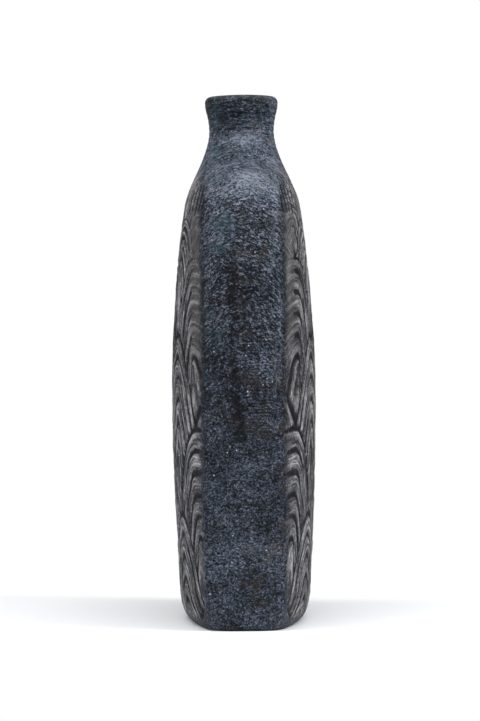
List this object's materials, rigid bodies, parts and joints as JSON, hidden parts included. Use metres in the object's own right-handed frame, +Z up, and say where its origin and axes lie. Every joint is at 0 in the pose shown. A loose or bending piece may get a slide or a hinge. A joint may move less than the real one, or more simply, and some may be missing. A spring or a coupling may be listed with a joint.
{
  "type": "stoneware vase",
  "caption": "Tall flattened stoneware bottle vase with carved fan relief on its broad faces, plain narrow sides, a short round neck and a rolled lip.",
  "frame": {"origin": "centre of the flat foot, on the surface that the vase stands on", "axes": "+Z up along the neck; the broad carved faces look along +Y and -Y, and the narrow plain sides along +X and -X"},
  "size_m": [0.23, 0.0826, 0.3],
  "materials": {
    "carved_stoneware": "dry satin charcoal stoneware, carved in low relief with darker grooves and fine grit",
    "burnished_stoneware": "satin blue-black stoneware, scraped and lightly burnished, with pale grit specks",
    "neck_stoneware": "satin blue-black stoneware with fine turning marks",
    "foot_stoneware": "matt charcoal stoneware, worn slightly on the foot",
    "raw_stoneware": "matt unfinished dark stoneware inside the vessel"
  },
  "bodies": {
    "root": {"base_slab": "foot_stoneware", "front_wall": "carved_stoneware", "back_wall": "carved_stoneware", "left_side_wall": "burnished_stoneware", "right_side_wall": "burnished_stoneware", "neck_collar": "neck_stoneware", "lip_ring": "neck_stoneware", "coil_front_left": "raw_stoneware", "coil_front_right": "raw_stoneware", "coil_back_left": "raw_stoneware", "coil_back_right": "raw_stoneware", "base_coil": "raw_stoneware"}
  },
  "joints": []
}
